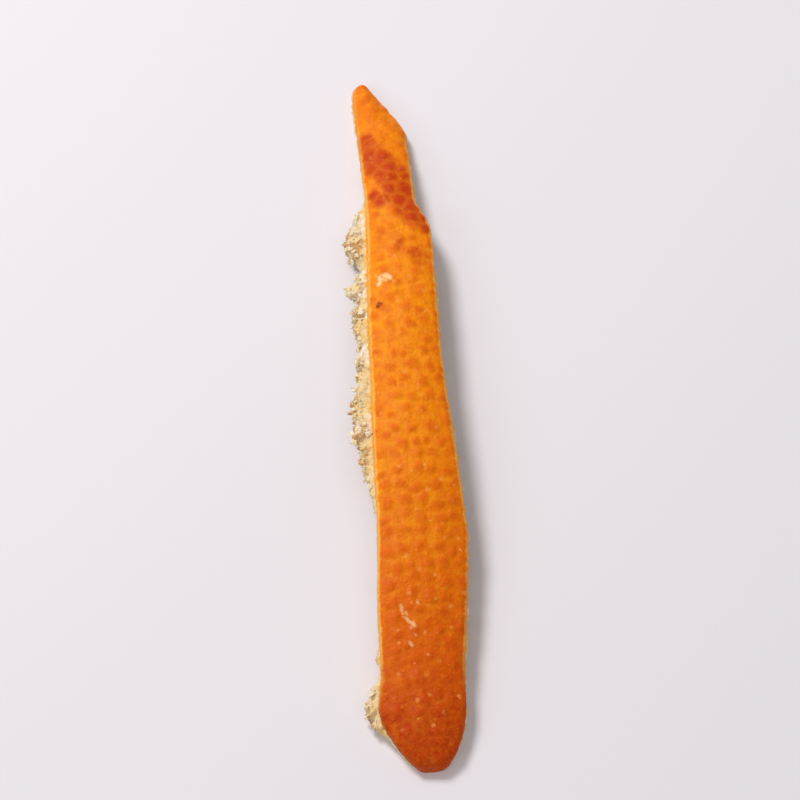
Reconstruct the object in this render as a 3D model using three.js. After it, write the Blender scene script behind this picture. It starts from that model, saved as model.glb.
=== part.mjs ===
// A dried strip of orange peel: one cut strip of rind on its pith, lying skin side up.
// Millimetres, +Z up. The strip runs along Y with its pointed tip at +Y. The origin is under the
// middle of the strip's bounding box, on the surface that it rests on with its two ends.

import * as THREE from "three";
import { mergeVertices } from "three/addons/utils/BufferGeometryUtils.js";

// Driving dimensions
const LENGTH = 67; // from the pointed tip to the round end
const THICKNESS = 2.2; // rind and pith together, where the strip is fullest
const TIP_THICKNESS = 1.1; // the pith thins out towards the tip
const RIND_SHARE = 0.42; // part of the thickness that is coloured rind
const CROWN = 0.55; // how far the skin bulges across the strip
const HOLLOW = 0.2; // how far the underside follows that bulge
const BOW = 2.4; // how far the middle stands off the surface
const DROOP = 0.7; // how far the skin bends down at the very round end
const LEAN = 0.07; // greatest sideways slope of the strip, as it twists from end to end
const SEAT = 0.32; // how much of the pith is pressed flat where an end rests
const LUMP = 0.14; // height of the lumps under the pith
const LUMP_PITCH = 3.4; // distance from one lump to the next
const ROUND_END = 5.2; // length over which the round end closes
const POINT = 1.6; // length over which the tip rounds off
const MIDDLE = -0.6; // sideways place of the round end's furthest point
const TIP_MIDDLE = -1.95; // sideways place of the tip
const BLUNT_TIP = 0.55; // part of the width that is left at the very tip
const BLUNT_END = 0.14; // part of the width that is left at the very end

// The knife cuts, as [distance from the tip, sideways place]
const LEFT_CUT = [
  [0, -2.6],
  [14.5, -2.25],
  [28, -2.9],
  [44, -3.4],
  [54.5, -4.0],
  [59.5, -4.05],
  [62.6, -4.5],
  [LENGTH, -4.3],
];
const RIGHT_CUT = [
  [0, -1.1],
  [5.6, 1.75],
  [13.6, 2.0],
  [17.2, 3.15],
  [30, 3.1],
  [47, 3.98],
  [61, 2.65],
  [LENGTH, 2.2],
];

// How far torn pith stands out past the left cut, as [distance from the tip, reach]
const TORN_EDGE = [
  [0, 0.25],
  [6.0, 0.22],
  [9.0, 0.05],
  [12.8, 0.05],
  [15.4, 1.35],
  [18.0, 1.85],
  [20.7, 0.55],
  [22.4, 1.95],
  [23.8, 0.65],
  [25.6, 1.4],
  [27.4, 0.9],
  [31.0, 1.1],
  [34.8, 1.7],
  [39.0, 1.05],
  [45.5, 0.05],
  [55.8, 0.05],
  [57.2, 0.35],
  [58.6, 0.2],
  [61.4, 1.15],
  [64.8, 0.05],
  [LENGTH, 0.05],
];
const RAGGED = 0.14; // unevenness of the torn edges
const TORN_FOOT = 0.07; // unevenness of the right side's lower edge
const UNDERCUT = 0.3; // the pith's lower edge is drawn in by this much

// Faces: across the strip, along it, and up its sides
const ACROSS = 12;
const ALONG = 96;
const UP = 3;
// Heights of the side's levels: underside, pith shoulder, foot of the rind, skin
const LEVELS = [0, 0.36, 1 - RIND_SHARE, 1];

const { lerp, smoothstep } = THREE.MathUtils;

// A smooth curve through [distance, value] points, without overshoot at the shoulders.
function along(points, s) {
  let i = 0;
  while (i < points.length - 2 && points[i + 1][0] < s) i += 1;
  const [from, a] = points[i];
  const [to, b] = points[i + 1];
  const straight = lerp(a, b, (s - from) / (to - from));
  const eased = lerp(a, b, smoothstep(s, from, to));
  return lerp(straight, eased, 0.45);
}

// A repeatable ripple between -1 and 1 along a torn edge.
function ripple(s, phase) {
  return (
    0.5 * Math.sin(1.9 * s + phase) +
    0.3 * Math.sin(4.3 * s + 2.1 * phase) +
    0.2 * Math.sin(7.7 * s + 0.7 * phase)
  );
}

// Repeatable lumps between -1 and 1 under the pith, in rows that wander.
function lumps(x, s) {
  const turn = (2 * Math.PI) / LUMP_PITCH;
  const row = s + 0.8 * Math.sin(0.55 * turn * x);
  const column = x + 0.9 * Math.sin(0.37 * turn * s);
  return Math.sin(turn * row) * Math.cos(0.8 * turn * column);
}

// Sideways reach of the torn pith past the left cut.
function ledge(s) {
  return along(TORN_EDGE, s) * openness(s, 2) * (1 + RAGGED * ripple(s, 0.4));
}

// How open the strip is at distance s: 1 along its body, closing to a blunt edge at both ends.
function openness(s, power) {
  const point = Math.min(1, s / POINT);
  const end = Math.min(1, (LENGTH - s) / ROUND_END);
  const tip = lerp(BLUNT_TIP, 1, Math.sqrt(1 - (1 - point) ** 2));
  return tip * lerp(BLUNT_END, 1, (1 - (1 - end) ** power) ** (1 / power));
}

// Left and right sides of the strip at distance s, at one of the side's levels.
function sides(s, level) {
  const middle = lerp(TIP_MIDDLE, MIDDLE, smoothstep(s, 0, LENGTH));
  const skinLeft = lerp(middle, along(LEFT_CUT, s), openness(s, 1.5));
  const skinRight = lerp(middle, along(RIGHT_CUT, s), openness(s, 2.2));
  if (level === UP) return [skinLeft, skinRight];
  if (level === UP - 1) return [skinLeft - 0.12 * ledge(s), skinRight];
  const torn = TORN_FOOT * openness(s, 2) * ripple(s, 2.6);
  const inset = level === 0 ? UNDERCUT * openness(s, 2) : 0;
  return [skinLeft - ledge(s) + inset, skinRight + torn - inset];
}

// Depth of the strip at distance s.
function thickness(s) {
  const full = lerp(TIP_THICKNESS, THICKNESS, smoothstep(s, 0, 16));
  return full * lerp(0.72, 1, openness(s, 2));
}

// Place of the point u across (0 to 1), s along, and a level up the strip.
function place(u, s, level) {
  const [left, right] = sides(s, level);
  const x = lerp(left, right, u);
  const arch = 1 - (2 * u - 1) ** 2;
  const bow = BOW * Math.sin((Math.PI * s) / LENGTH) ** 1.4;
  const lean = LEAN * Math.sin((2 * Math.PI * s) / LENGTH) * x;
  const open = openness(s, 2);
  const droop = DROOP * (1 - open) * smoothstep(s, LENGTH / 2, LENGTH);
  const under = bow + lean + HOLLOW * arch + LUMP * lumps(x, s) - SEAT;
  const skin = bow + lean + thickness(s) + CROWN * arch * open - droop - SEAT;
  return new THREE.Vector3(x, LENGTH / 2 - s, Math.max(0, lerp(under, skin, LEVELS[level])));
}

// The strip's solid: a box of fine faces whose every corner is carried to its place.
function stripGeometry() {
  const box = new THREE.BoxGeometry(1, 1, 1, ACROSS, ALONG, UP);
  box.deleteAttribute("normal");
  box.deleteAttribute("uv");
  const geometry = mergeVertices(box);
  const corners = geometry.getAttribute("position");
  for (let i = 0; i < corners.count; i += 1) {
    const across = corners.getX(i) + 0.5;
    const down = 0.5 - corners.getY(i);
    const u = lerp(across, smoothstep(across, 0, 1), 0.5);
    const s = LENGTH * lerp(down, smoothstep(down, 0, 1), 0.45);
    const level = Math.round((corners.getZ(i) + 0.5) * UP);
    const point = place(u, s, level);
    corners.setXYZ(i, point.x, point.y, point.z);
  }
  return geometry;
}

// Moves a geometry so that the origin is under the middle of its bounding box.
function stand(geometry) {
  geometry.computeBoundingBox();
  const { min, max } = geometry.boundingBox;
  geometry.translate(-(min.x + max.x) / 2, -(min.y + max.y) / 2, -min.z);
  geometry.computeVertexNormals();
  return geometry;
}

const peelMaterial = new THREE.MeshStandardMaterial({
  color: 0xe07a1c,
  roughness: 0.55,
  metalness: 0,
});

const strip = new THREE.Mesh(stand(stripGeometry()), peelMaterial);
strip.name = "peel_strip";

const orangePeel = new THREE.Group();
orangePeel.name = "orange_peel";
orangePeel.add(strip);

export default orangePeel;
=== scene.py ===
"""A dried strip of orange peel, lying skin side up on a pale table.

The strip is one piece of rind on its pith: pointed at one end, rounded at the other, cut with a knife
along both sides and torn along the left one. Lengths are in millimetres until a mesh is finished.
"""

import logging
import math
from dataclasses import dataclass, fields
from enum import Enum
from functools import reduce

import bpy
import numpy as np
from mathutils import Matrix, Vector


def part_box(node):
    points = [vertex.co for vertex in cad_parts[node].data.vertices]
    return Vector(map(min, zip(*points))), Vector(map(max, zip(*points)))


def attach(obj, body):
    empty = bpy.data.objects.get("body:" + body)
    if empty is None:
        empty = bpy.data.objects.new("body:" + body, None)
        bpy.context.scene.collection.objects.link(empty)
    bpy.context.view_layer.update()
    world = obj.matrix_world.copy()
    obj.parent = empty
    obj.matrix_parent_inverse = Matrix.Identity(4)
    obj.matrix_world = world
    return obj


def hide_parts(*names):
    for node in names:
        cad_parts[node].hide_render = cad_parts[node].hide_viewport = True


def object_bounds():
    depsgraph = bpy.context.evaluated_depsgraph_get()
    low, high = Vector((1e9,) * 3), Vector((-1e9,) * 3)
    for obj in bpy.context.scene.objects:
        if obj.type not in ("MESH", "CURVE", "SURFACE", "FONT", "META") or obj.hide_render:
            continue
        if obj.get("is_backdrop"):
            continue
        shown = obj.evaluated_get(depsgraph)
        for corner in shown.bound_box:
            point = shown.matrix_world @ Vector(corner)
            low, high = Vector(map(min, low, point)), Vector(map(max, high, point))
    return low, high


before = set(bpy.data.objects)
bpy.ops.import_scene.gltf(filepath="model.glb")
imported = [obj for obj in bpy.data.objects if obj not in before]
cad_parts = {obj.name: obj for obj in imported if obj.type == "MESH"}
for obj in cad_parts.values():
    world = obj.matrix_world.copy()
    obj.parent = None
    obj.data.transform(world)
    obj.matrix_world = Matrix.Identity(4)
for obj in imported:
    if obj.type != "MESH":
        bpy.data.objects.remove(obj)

MM = 0.001
NODE = "peel_strip"

Colour = tuple[float, float, float, float]
Triple = tuple[float, float, float]
Socket = bpy.types.NodeSocket
Number = float | Socket

log = logging.getLogger("orange_peel")


class Wall(Enum):
    """The two cut sides of the strip."""

    LEFT = -1
    RIGHT = 1


class Mark(Enum):
    """Point attributes that the strip's mesh carries for its finish."""

    LAY = "lay"
    DEPTH = "depth"
    TORN = "torn"
    RIM = "rim"
    PORE = "pore"
    WEB = "web"
    # Painted shade of the pith's cracks, pits and hollows
    CREVICE = "crevice"
    CHUNK = "chunk"
    BLUSH = "blush"
    SCAR = "scar"
    SPECK = "speck"


def tone(*display: int) -> Colour:
    """Turns a display colour, three numbers up to 255, into the linear colour that a shader takes."""
    shares = [c / 255 for c in display]
    return (*(c / 12.92 if c <= 0.04045 else ((c + 0.055) / 1.055) ** 2.4 for c in shares), 1.0)


def smooth(value: np.ndarray, low: float, high: float) -> np.ndarray:
    """Returns values that rise smoothly from 0 at low to 1 at high."""
    t = np.clip((value - low) / (high - low), 0.0, 1.0)
    return t * t * (3 - 2 * t)


def mixed(a: np.ndarray | float, b: np.ndarray | float, share: np.ndarray | float) -> np.ndarray:
    """Returns the value that is the given share of the way from a to b."""
    return a + (b - a) * share


def linked(name: str, data: bpy.types.ID) -> bpy.types.Object:
    """Puts an object into the scene.

    Args:
        name: Its name.
        data: Its mesh, lamp or camera.

    Returns:
        The object.
    """
    made = bpy.data.objects.new(name, data)
    bpy.context.scene.collection.objects.link(made)
    return made


def aimed(
    data: bpy.types.ID, target: Vector, azimuth: float, elevation: float, distance: float
) -> bpy.types.Object:
    """Puts a lamp or a camera into the scene and points it.

    Args:
        data: The lamp or camera.
        target: What it points at.
        azimuth: 0 is in front of the round end, 90 to the right of it, in degrees.
        elevation: The angle above the table, in degrees.
        distance: How far it is from its target.

    Returns:
        Its object.
    """
    a, e = math.radians(azimuth), math.radians(elevation)
    away = Vector((math.sin(a) * math.cos(e), -math.cos(a) * math.cos(e), math.sin(e)))
    made = linked(data.name, data)
    made.location = target + away * distance
    made.rotation_euler = away.to_track_quat("Z", "Y").to_euler()
    return made


def places_of(mesh: bpy.types.Mesh) -> np.ndarray:
    """Reads where a mesh's points are.

    Args:
        mesh: The mesh.

    Returns:
        One row for each point.
    """
    co = np.empty(len(mesh.vertices) * 3)
    mesh.vertices.foreach_get("co", co)
    return co.reshape(-1, 3)


def move_points(mesh: bpy.types.Mesh, places: np.ndarray) -> None:
    """Moves the mesh's points to new places."""
    mesh.vertices.foreach_set("co", places.ravel())
    mesh.update()


@dataclass(frozen=True)
class Tint:
    """A shade, the value at which it starts to show, the value at which it is full, and its strength."""

    shade: Colour
    start: float
    full: float
    strength: float = 1.0


class NodeSheet:
    """Short hand for building a shader or geometry node tree."""

    def __init__(self, tree: bpy.types.NodeTree) -> None:
        """Keeps the tree that the nodes go into."""
        self.tree = tree

    def add(self, kind: str, fed: dict | None = None, **settings: object) -> bpy.types.Node:
        """Adds a node.

        Args:
            kind: The node's type name.
            fed: What its inputs are fed, by their names or numbers.
            **settings: Values for the node's own properties.

        Returns:
            The new node.
        """
        node = self.tree.nodes.new(kind)
        for name, value in settings.items():
            setattr(node, name, value)
        for name, value in (fed or {}).items():
            self.feed(node.inputs[name], value)
        return node

    def feed(self, socket: Socket, value: object) -> None:
        """Links a socket to another, or sets its own value.

        Args:
            socket: The input to feed.
            value: An output socket, a number or a tuple.
        """
        if isinstance(value, bpy.types.NodeSocket):
            self.tree.links.new(value, socket)
        else:
            socket.default_value = value

    def math(self, operation: str, *values: Number) -> Socket:
        """Returns the result of a math node."""
        return self.add("ShaderNodeMath", dict(enumerate(values)), operation=operation).outputs[0]

    def vector(self, operation: str, *values: object) -> Socket:
        """Returns the result of a vector math node."""
        return self.add("ShaderNodeVectorMath", dict(enumerate(values)), operation=operation).outputs[0]

    def scaled(self, vector: Socket, factor: Number) -> Socket:
        """Returns a vector times a number."""
        node = self.add("ShaderNodeVectorMath", {0: vector, "Scale": factor}, operation="SCALE")
        return node.outputs[0]

    def times(self, *values: Number) -> Socket:
        """Returns the product of all the values."""
        return reduce(lambda a, b: self.math("MULTIPLY", a, b), values)

    def plus(self, *values: Number) -> Socket:
        """Returns the sum of all the values."""
        return reduce(lambda a, b: self.math("ADD", a, b), values)

    def centred(self, value: Socket, *factors: Number) -> Socket:
        """Returns a value around 0.5 as one around 0, times the factors."""
        return self.times(self.math("SUBTRACT", value, 0.5), *factors)

    def rest(self, value: Socket) -> Socket:
        """Returns what the value leaves of 1."""
        return self.math("SUBTRACT", 1.0, value)

    def rise(
        self, value: Number, low: Number, high: Number, start: float = 0.0, end: float = 1.0
    ) -> Socket:
        """Grades a value smoothly, from start where it is low to end where it is high."""
        fed = {"Value": value, "From Min": low, "From Max": high, "To Min": start, "To Max": end}
        return self.add("ShaderNodeMapRange", fed, interpolation_type="SMOOTHSTEP").outputs["Result"]

    def blend(self, share: Number, a: object, b: object) -> Socket:
        """Returns the colour that is the given share of the way from a to b."""
        return self.add("ShaderNodeMix", {0: share, 6: a, 7: b}, data_type="RGBA").outputs[2]

    def tint(self, colour: object, tint: Tint, value: Number, *limits: Number) -> Socket:
        """Lays a tint that follows a value over a colour, held back by the limits."""
        share = self.rise(value, tint.start, tint.full, 0.0, tint.strength)
        return self.blend(self.times(share, *limits), colour, tint.shade)

    def tints(self, colour: object, value: Number, *tints: Tint) -> Socket:
        """Lays several tints that follow one value over a colour."""
        return reduce(lambda under, tint: self.tint(under, tint, value), tints, colour)

    def noise(self, place: Socket, size: Number, detail: float = 2.0, rough: float = 0.5) -> Socket:
        """Adds cloudy noise.

        Args:
            place: The coordinates, in millimetres.
            size: The size of its clouds, in millimetres.
            detail: How many finer layers it has.
            rough: How strong the finer layers are.

        Returns:
            The noise, around 0.5.
        """
        scale = self.math("DIVIDE", 1.0, size)
        fed = {"Vector": place, "Scale": scale, "Detail": detail, "Roughness": rough}
        return self.add("ShaderNodeTexNoise", fed, noise_dimensions="3D").outputs[0]

    def cells(
        self, place: Socket, size: Number, feature: str = "F1", loose: float = 1.0, flat: bool = False
    ) -> bpy.types.Node:
        """Adds a pattern of cells.

        Args:
            place: The coordinates, in millimetres.
            size: The distance from one cell to the next, in millimetres.
            feature: Which distance the pattern gives.
            loose: How far the cells stray from a grid, 0 to 1.
            flat: Whether the pattern ignores the third coordinate.

        Returns:
            The pattern's node.
        """
        fed = {"Vector": place, "Scale": self.math("DIVIDE", 1.0, size), "Randomness": loose}
        space = "2D" if flat else "3D"
        return self.add("ShaderNodeTexVoronoi", fed, feature=feature, voronoi_dimensions=space)

    def sway(self, place: Socket, size: float, reach: float) -> Socket:
        """Bends coordinates to and fro, by bends of a size and a reach, so that no line is straight."""
        cloud = self.add("ShaderNodeTexNoise", {"Vector": place, "Scale": 1.0 / size}, noise_dimensions="3D")
        return self.vector("MULTIPLY_ADD", cloud.outputs["Color"], (reach,) * 3, place)

    def drawn(self, place: Socket, share: float) -> Socket:
        """Draws a pattern out along the strip, by taking only a share of the distance."""
        return self.vector("MULTIPLY", place, (1.0, share, 1.0))

    def parts(self, vector: Socket) -> tuple[Socket, ...]:
        """Returns the three coordinates of a vector."""
        return tuple(self.add("ShaderNodeSeparateXYZ", {0: vector}).outputs)

    def bump(self, height: Socket, strength: float) -> Socket:
        """Returns the normal of a surface that has the given height in millimetres."""
        fed = {"Strength": strength, "Distance": MM, "Height": height}
        return self.add("ShaderNodeBump", fed).outputs[0]


@dataclass(frozen=True)
class Outline:
    """A smooth line along the strip, through a few (distance from the tip, value) points."""

    points: tuple[tuple[float, float], ...]
    ease: float = 0.45

    def at(self, s: np.ndarray) -> np.ndarray:
        """Reads the line.

        Args:
            s: Distances from the tip.

        Returns:
            The line's value at each.
        """
        distances, places = np.array(self.points).T
        i = np.clip(np.searchsorted(distances, s, side="right") - 1, 0, len(distances) - 2)
        t = np.clip((s - distances[i]) / (distances[i + 1] - distances[i]), 0.0, 1.0)
        eased = mixed(t, t * t * (3 - 2 * t), self.ease)
        return mixed(places[i], places[i + 1], eased)


LEFT_CUT = Outline(
    (
        *((0, -2.6), (14.5, -2.25), (28, -2.9), (44, -3.4)),
        *((54.5, -4.0), (59.5, -4.05), (62.6, -4.5), (67, -4.3)),
    )
)
RIGHT_CUT = Outline(
    (
        *((0, -1.1), (5.6, 1.75), (13.6, 2.0), (17.2, 3.15)),
        *((30, 3.1), (47, 3.98), (61, 2.65), (67, 2.2)),
    )
)
TORN_EDGE = Outline(
    (
        *((0, 0.25), (6.0, 0.22), (9.0, 0.05), (12.8, 0.05), (15.4, 1.35), (18.0, 1.85), (20.7, 0.55)),
        *((22.4, 1.95), (23.8, 0.65), (25.6, 1.4), (27.4, 0.9), (31.0, 1.1), (34.8, 1.7), (39.0, 1.05)),
        *((45.5, 0.05), (55.8, 0.05), (57.2, 0.35), (58.6, 0.2), (61.4, 1.15), (64.8, 0.05), (67, 0.05)),
    )
)


@dataclass
class StripForm:
    """The strip's shape, worked out from its named sizes."""

    length: float
    thickness: float = 2.2
    tip_thickness: float = 1.1
    full_from: float = 16.0
    thin_end: float = 0.72
    crown: float = 0.55
    hollow: float = 0.2
    bow: float = 2.4
    lean: float = 0.07
    seat: float = 0.32
    round_end: float = 5.2
    point: float = 1.6
    end_middle: float = -0.6
    tip_middle: float = -1.95
    blunt_tip: float = 0.55
    blunt_end: float = 0.14
    edge_roll: float = 0.16
    roll_width: float = 0.45
    droop: float = 0.7
    rind_depth: float = 0.5
    end_rind: float = 0.12
    undercut: float = 0.3
    below: float = 4.0
    ragged: float = 0.14
    cut_torn: float = 0.48
    left: Outline = LEFT_CUT
    right: Outline = RIGHT_CUT
    torn_edge: Outline = TORN_EDGE
    # Down a side: how far out, the share of the torn reach, and the shares of rind and height down
    wall_knots: tuple[tuple[float, float, float, float], ...] = (
        *((0.0, 0.0, 0.0, 0.0), (0.06, 0.0, 0.35, 0.0), (0.08, 0.12, 1.0, 0.0)),
        *((0.04, 0.72, 1.0, 0.08), (0.0, 1.0, 0.0, 0.55), (-0.10, 0.97, 0.0, 0.82)),
    )

    def openness(self, s: np.ndarray, power: float) -> np.ndarray:
        """Says how open the strip is: 1 along its body, closing to a blunt edge at both ends.

        Args:
            s: Distances from the tip.
            power: How square the round end is; 2 is a half circle.

        Returns:
            The open share of the width.
        """
        point = np.minimum(1.0, s / self.point)
        end = np.minimum(1.0, np.maximum(0.0, self.length - s) / self.round_end)
        tip = mixed(self.blunt_tip, 1.0, np.sqrt(1 - (1 - point) ** 2))
        return tip * mixed(self.blunt_end, 1.0, (1 - (1 - end) ** power) ** (1 / power))

    def closing(self, s: np.ndarray) -> np.ndarray:
        """Returns how far the round end has closed at each distance, 0 along the body."""
        return (1 - self.openness(s, 2.0)) * smooth(s, 0.5 * self.length, self.length)

    def reach(self, s: np.ndarray) -> np.ndarray:
        """Returns how far torn pith stands out past the left cut at each distance."""
        ripple = 0.5 * np.sin(1.9 * s + 0.4) + 0.3 * np.sin(4.3 * s + 0.84) + 0.2 * np.sin(7.7 * s + 0.28)
        return self.torn_edge.at(s) * self.openness(s, 2.0) * (1 + self.ragged * ripple)

    def depth(self, s: np.ndarray) -> np.ndarray:
        """Returns the strip's thickness at each distance."""
        full = mixed(self.tip_thickness, self.thickness, smooth(s, 0, self.full_from))
        return full * mixed(self.thin_end, 1.0, self.openness(s, 2.0))

    def skin_sides(self, s: np.ndarray) -> tuple[np.ndarray, np.ndarray]:
        """Finds the edges of the skin.

        Args:
            s: Distances from the tip.

        Returns:
            The sideways places of the left and the right edge.
        """
        middle = mixed(self.tip_middle, self.end_middle, smooth(s, 0, self.length))
        left = mixed(middle, self.left.at(s), self.openness(s, 1.5))
        right = mixed(middle, self.right.at(s), self.openness(s, 2.2))
        return left, right

    def ground(self, x: np.ndarray, s: np.ndarray) -> np.ndarray:
        """Returns the height of the strip's own base line, with its bow and twist."""
        bow = self.bow * np.sin(np.pi * np.clip(s / self.length, 0, 1)) ** 1.4
        return bow + self.lean * np.sin(2 * np.pi * s / self.length) * x - self.seat

    def skin(self, u: np.ndarray, s: np.ndarray) -> np.ndarray:
        """Places points of the skin.

        Args:
            u: Places across the strip, 0 to 1.
            s: Distances from the tip.

        Returns:
            One row for each point: sideways place, distance and height.
        """
        left, right = self.skin_sides(s)
        x = mixed(left, right, u)
        arch = self.crown * (1 - (2 * u - 1) ** 2) * self.openness(s, 2.0)
        edge = np.minimum(x - left, right - x) / self.roll_width
        roll = self.edge_roll * (1 - np.clip(edge, 0, 1)) ** 2
        z = self.ground(x, s) + self.depth(s) + arch - roll - self.droop * self.closing(s)
        return np.stack([x, s, z], axis=-1)

    def underside(self, u: np.ndarray, s: np.ndarray) -> np.ndarray:
        """Places points of the pith's underside.

        Args:
            u: Places across the strip, 0 to 1.
            s: Distances from the tip.

        Returns:
            One row for each point, as skin() gives them.
        """
        left, right = self.skin_sides(s)
        inset = self.undercut * self.openness(s, 2.0)
        x = mixed(left - self.reach(s) + inset, right - inset, u)
        arch = 1 - (2 * u - 1) ** 2
        return np.stack([x, s, self.ground(x, s) + self.hollow * arch], axis=-1)

    def torn(self, side: Wall, s: np.ndarray) -> np.ndarray:
        """Says how torn the pith is along one side.

        Args:
            side: Which side.
            s: Distances from the tip.

        Returns:
            0 where the knife left it whole, 1 where it is torn.
        """
        if side is Wall.RIGHT:
            return np.full_like(s, self.cut_torn)
        return mixed(0.22, 1.0, smooth(self.reach(s), 0.15, 0.7))

    def wall(self, side: Wall, s: float, steps: int) -> tuple[np.ndarray, np.ndarray]:
        """Traces one side of the strip from the skin's edge down to the underside.

        Args:
            side: Which side.
            s: The distance from the tip.
            steps: How many steps the trace has.

        Returns:
            The points, and how far each is from the skin's edge along the wall.
        """
        at = np.array([s])
        u = np.array([0.0 if side is Wall.LEFT else 1.0])
        top, foot = self.skin(u, at)[0], self.underside(u, at)[0]
        drop = top[2] - foot[2]
        rind = min(self.rind_depth, 0.45 * drop)
        far = float(self.reach(at)[0]) if side is Wall.LEFT else 0.0
        knots = [
            [top[0] + side.value * (out + share * far), top[2] - rinds * rind - drops * drop]
            for out, share, rinds, drops in self.wall_knots
        ]
        knots = np.array([*knots, [foot[0], foot[2]]])
        travelled = np.concatenate([[0], np.cumsum(np.linalg.norm(np.diff(knots, axis=0), axis=1))])
        even = np.linspace(0, travelled[-1], steps + 1)
        x, z = (np.interp(even, travelled, knots[:, k]) for k in range(2))
        closing = float(self.closing(at)[0])
        return np.stack([x, np.full_like(x, s), z], axis=-1), even * mixed(1.0, self.end_rind, closing)


@dataclass(frozen=True)
class Blemish:
    """A mark on the skin, drawn as soft strokes: (x, s) of both ends, then half width and strength."""

    strokes: tuple[tuple[float, float, float, float, float, float], ...]
    core: float = 0.35

    def shade(self, x: np.ndarray, s: np.ndarray) -> np.ndarray:
        """Says how strongly the mark shows.

        Args:
            x: Sideways places on the skin.
            s: Distances from the tip.

        Returns:
            A stroke's strength in its core, fading to 0 at its soft edge.
        """
        strongest = np.zeros_like(x)
        for x0, s0, x1, s1, width, strength in self.strokes:
            dx, ds = x1 - x0, s1 - s0
            t = np.clip(((x - x0) * dx + (s - s0) * ds) / (dx * dx + ds * ds), 0, 1)
            away = np.hypot(x - x0 - t * dx, s - s0 - t * ds)
            strongest = np.maximum(strongest, strength * (1 - smooth(away, self.core * width, width)))
        return strongest


BLUSH = Blemish(
    (
        (-2.0, 6.6, -1.2, 9.0, 1.8, 0.66),
        (-1.2, 9.0, 0.2, 11.0, 2.3, 1.0),
        (0.2, 11.0, 0.7, 13.4, 2.4, 1.0),
        (-1.4, 13.2, -1.2, 14.1, 1.1, 0.8),
        (0.7, 13.4, 1.8, 15.8, 2.0, 1.0),
        (1.8, 15.8, 2.7, 16.9, 1.4, 0.8),
        (0.3, 18.9, 0.4, 19.3, 1.0, 0.5),
        (1.7, 19.8, 1.9, 20.5, 1.5, 0.5),
    ),
    core=0.05,
)
SCAR = Blemish(
    (
        (-1.80, 22.80, -1.66, 22.35, 0.30, 1.0),
        (-1.62, 22.20, -1.20, 21.98, 0.33, 1.0),
        (-1.10, 22.02, -0.82, 22.34, 0.33, 1.0),
        (-1.32, 22.45, -1.16, 22.50, 0.24, 0.8),
        (-0.52, 22.75, -0.48, 22.85, 0.12, 0.7),
        (-2.02, 21.75, -1.98, 21.85, 0.11, 0.6),
    )
)
# Small pale flecks on the skin near the round end, shown in the scar's colour
PALE_FLECKS = Blemish(
    (
        (-2.12, 53.40, -2.06, 53.90, 0.18, 0.60),
        (-2.00, 54.15, -1.94, 54.40, 0.17, 0.50),
        (-1.74, 54.00, -1.68, 54.25, 0.14, 0.50),
        (-1.70, 54.60, -1.52, 54.90, 0.21, 0.65),
        (-1.26, 55.00, -1.14, 55.25, 0.23, 0.70),
        (-1.46, 55.35, -1.40, 55.45, 0.14, 0.50),
        (-1.28, 53.10, -1.22, 53.25, 0.12, 0.45),
        (-0.72, 53.15, -0.66, 53.35, 0.16, 0.55),
        (-1.62, 56.70, -1.46, 56.95, 0.19, 0.65),
        (-1.12, 56.00, -1.06, 56.15, 0.12, 0.45),
    )
)
SPECK = Blemish(
    (
        (-2.02, 25.15, -1.86, 24.80, 0.26, 1.0),
        (-1.80, 24.85, -1.68, 24.90, 0.17, 0.9),
        (-1.95, 25.00, -1.80, 24.90, 0.55, 0.3),
        (3.05, 58.00, 3.10, 58.15, 0.20, 0.8),
    )
)


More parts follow.
